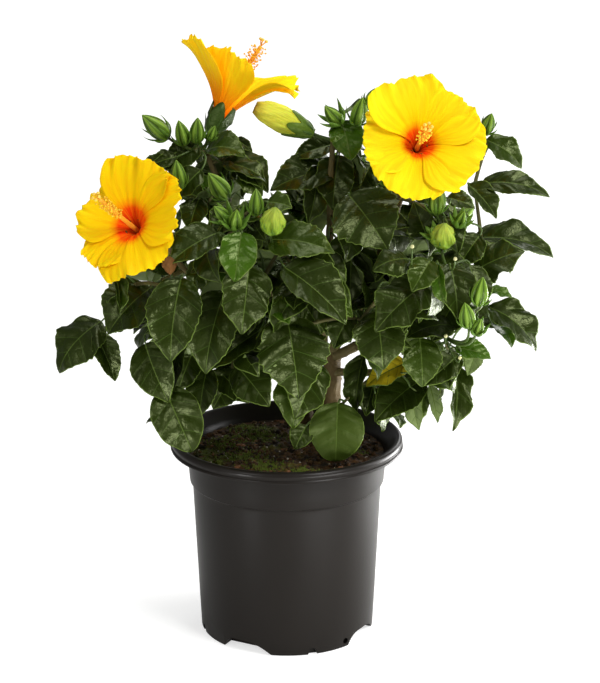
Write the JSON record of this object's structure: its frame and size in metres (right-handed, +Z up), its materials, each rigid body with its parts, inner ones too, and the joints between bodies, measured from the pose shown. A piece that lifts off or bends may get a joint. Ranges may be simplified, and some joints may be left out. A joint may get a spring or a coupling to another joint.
{
  "type": "potted hibiscus shrub",
  "caption": "Bushy potted hibiscus with glossy toothed leaves and large yellow blooms with red throats, in a dark nursery pot.",
  "frame": {"origin": "middle of the pot's flat underside, on the surface that the pot stands on", "axes": "+Z up, +X to the right and -Y towards the side that the blooms face"},
  "size_m": [0.3953, 0.2731, 0.4933],
  "materials": {
    "pot": "satin black-brown moulded plastic",
    "soil": "damp crumbly peat with bark bits and moss",
    "bark": "tan to green-brown bark with fine ridges",
    "leaves": "glossy dark green with yellow-green edges",
    "petals": "soft matt yellow with a red-orange throat",
    "green_buds": "yellow-green ribbed bud"
  },
  "bodies": {
    "root": {"bloom_left": "petals", "bloom_right": "petals", "bloom_top": "petals", "bough_back": "bark", "bough_crest": "bark", "bough_front": "bark", "bough_left_high": "bark", "bough_left_wide": "bark", "bough_right_high": "bark", "bough_right_low": "bark", "bough_right_wide": "bark", "bud_yellow": "green_buds", "leaves_back_high": "leaves", "leaves_back_left_high": "leaves", "leaves_back_left_low": "leaves", "leaves_back_left_mid": "leaves", "leaves_back_low": "leaves", "leaves_back_mid": "leaves", "leaves_back_right_high": "leaves", "leaves_back_right_low": "leaves", "leaves_back_right_mid": "leaves", "leaves_bud_group": "leaves", "leaves_bud_right": "leaves", "leaves_centre_deep": "leaves", "leaves_centre_front": "leaves", "leaves_centre_high": "leaves", "leaves_centre_shine": "leaves", "leaves_core_left": "leaves", "leaves_crest_left": "leaves", "leaves_crest_right": "leaves", "leaves_front_left": "leaves", "leaves_front_right": "leaves", "leaves_heart_left": "leaves", "leaves_high_wing": "leaves", "leaves_inner": "leaves", "leaves_inner_low": "leaves", "leaves_inner_right": "leaves", "leaves_left_front": "leaves", "leaves_left_hang": "leaves", "leaves_left_low": "leaves", "leaves_left_shoulder": "leaves", "leaves_left_tip": "leaves", "leaves_mid_right": "leaves", "leaves_over_soil": "leaves", "leaves_right_arch": "leaves", "leaves_right_core": "leaves", "leaves_right_hang": "leaves", "leaves_right_wing": "leaves", "leaves_round_left": "leaves", "leaves_stem_side": "leaves", "leaves_top_arch": "leaves", "leaves_top_centre": "leaves", "leaves_top_right": "leaves", "leaves_under_bloom": "leaves", "leaves_upper_right": "leaves", "leaves_valley_left": "leaves", "pot": "pot", "soil": "soil", "stem_main": "bark", "stem_second": "bark"}
  },
  "joints": []
}
